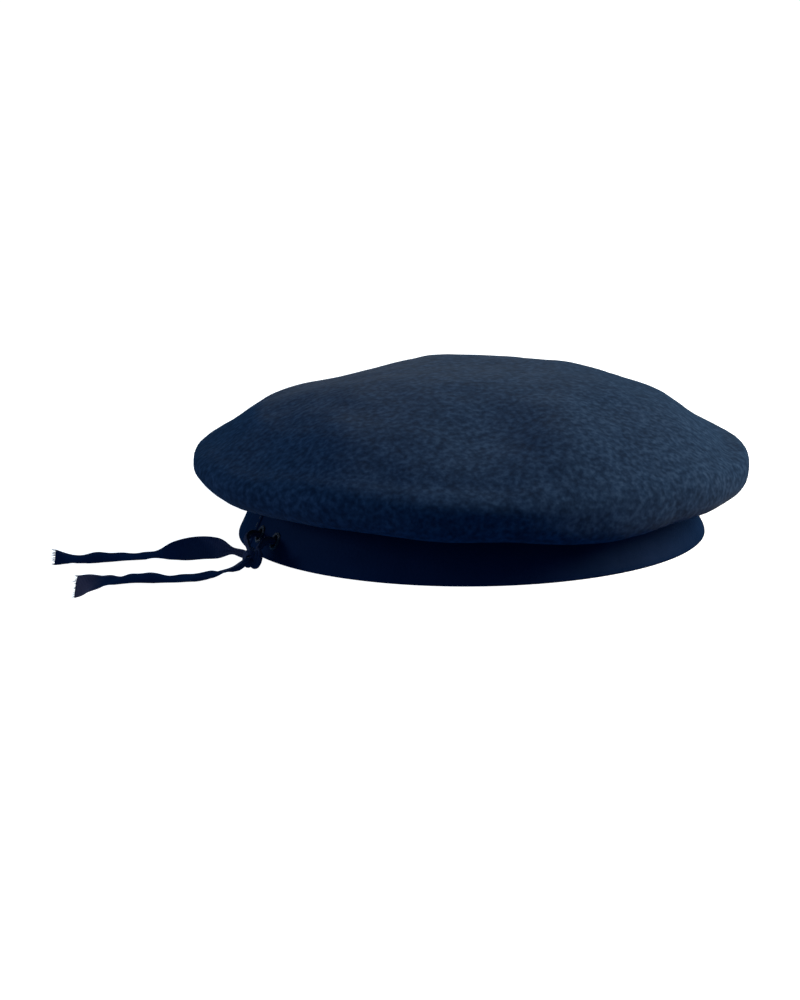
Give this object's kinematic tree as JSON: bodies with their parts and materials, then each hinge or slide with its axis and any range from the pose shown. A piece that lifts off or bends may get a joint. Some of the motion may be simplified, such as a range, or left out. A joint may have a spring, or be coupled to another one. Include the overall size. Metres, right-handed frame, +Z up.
{
  "type": "beret",
  "caption": "Soft navy wool-felt beret with a bound leather headband, satin lining and a knotted drawstring at the rear.",
  "frame": {"origin": "on the surface that the beret rests on, under the middle of the crown and headband", "axes": "+X to the front, the rear centre and its drawstring at -X; +Y to the wearer's left; +Z up out of the crown"},
  "size_m": [0.3321, 0.2384, 0.0735],
  "materials": {
    "felt": "matt wool felt",
    "leather": "soft semi-matt leather",
    "satin": "satin lining",
    "tape": "woven tape",
    "thread": "polyester thread",
    "label": "woven label",
    "stiffener": "stiffened buckram"
  },
  "bodies": {
    "hat": {"crown_shell": "felt", "lining_tip": "satin", "lining_side": "satin", "lining_seam_stitches": "thread", "badge_stiffener": "stiffener", "headband_binding": "leather", "topstitch_outer": "thread", "topstitch_inner": "thread", "lap_stitches": "thread", "size_label": "label", "label_stitches": "thread", "drawstring_loop": "tape", "exit_buttonhole_near": "thread", "exit_buttonhole_far": "thread", "drawstring_lead_near": "tape", "drawstring_lead_far": "tape"},
    "drawstring": {"drawstring_knot": "tape", "drawstring_tail_upper": "tape", "drawstring_tail_lower": "tape"}
  },
  "joints": [
    {"name": "drawstring_pull", "type": "slide", "parent": "hat", "child": "drawstring", "axis": [-1, 0, 0], "range_m": [0, 0.012], "deforming": ["drawstring_lead_near", "drawstring_lead_far"]}
  ]
}
